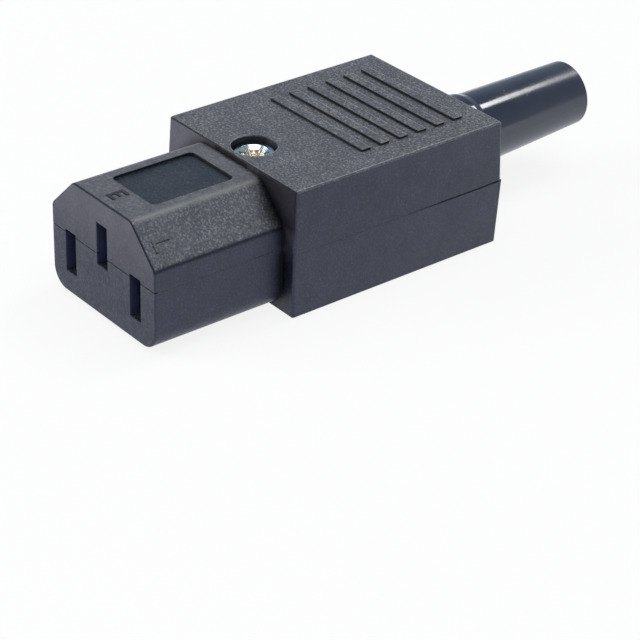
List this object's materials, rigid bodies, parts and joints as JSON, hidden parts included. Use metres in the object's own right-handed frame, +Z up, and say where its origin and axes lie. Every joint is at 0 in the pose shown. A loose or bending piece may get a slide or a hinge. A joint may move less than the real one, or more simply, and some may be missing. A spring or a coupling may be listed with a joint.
{
  "type": "c13 power connector",
  "caption": "Rewirable C13 female power connector: black moulded half shells, slotted contact face, ribbed grip and a tapered cable boot.",
  "frame": {"origin": "bottom centre of the whole connector, on the plane it rests on", "axes": "+Z up, through the parting plane; +Y from the contact face to the boot; +X to the right when the contact face is seen"},
  "size_m": [0.027, 0.0792, 0.0181],
  "materials": {
    "housing": "spark eroded",
    "boot": "gloss",
    "brass": "satin",
    "plated_steel": "bright zinc",
    "clamp_plastic": "matte"
  },
  "bodies": {
    "root": {"lower_shell": "housing", "upper_shell": "housing", "cable_boot": "boot", "cover_screw": "plated_steel", "line_contact": "brass", "neutral_contact": "brass", "earth_contact": "brass", "line_clamp_plate": "plated_steel", "neutral_clamp_plate": "plated_steel", "earth_clamp_plate": "plated_steel", "line_terminal_screw": "plated_steel", "neutral_terminal_screw": "plated_steel", "earth_terminal_screw": "plated_steel", "cord_clamp": "clamp_plastic", "cord_clamp_screw_left": "plated_steel", "cord_clamp_screw_right": "plated_steel"}
  },
  "joints": []
}
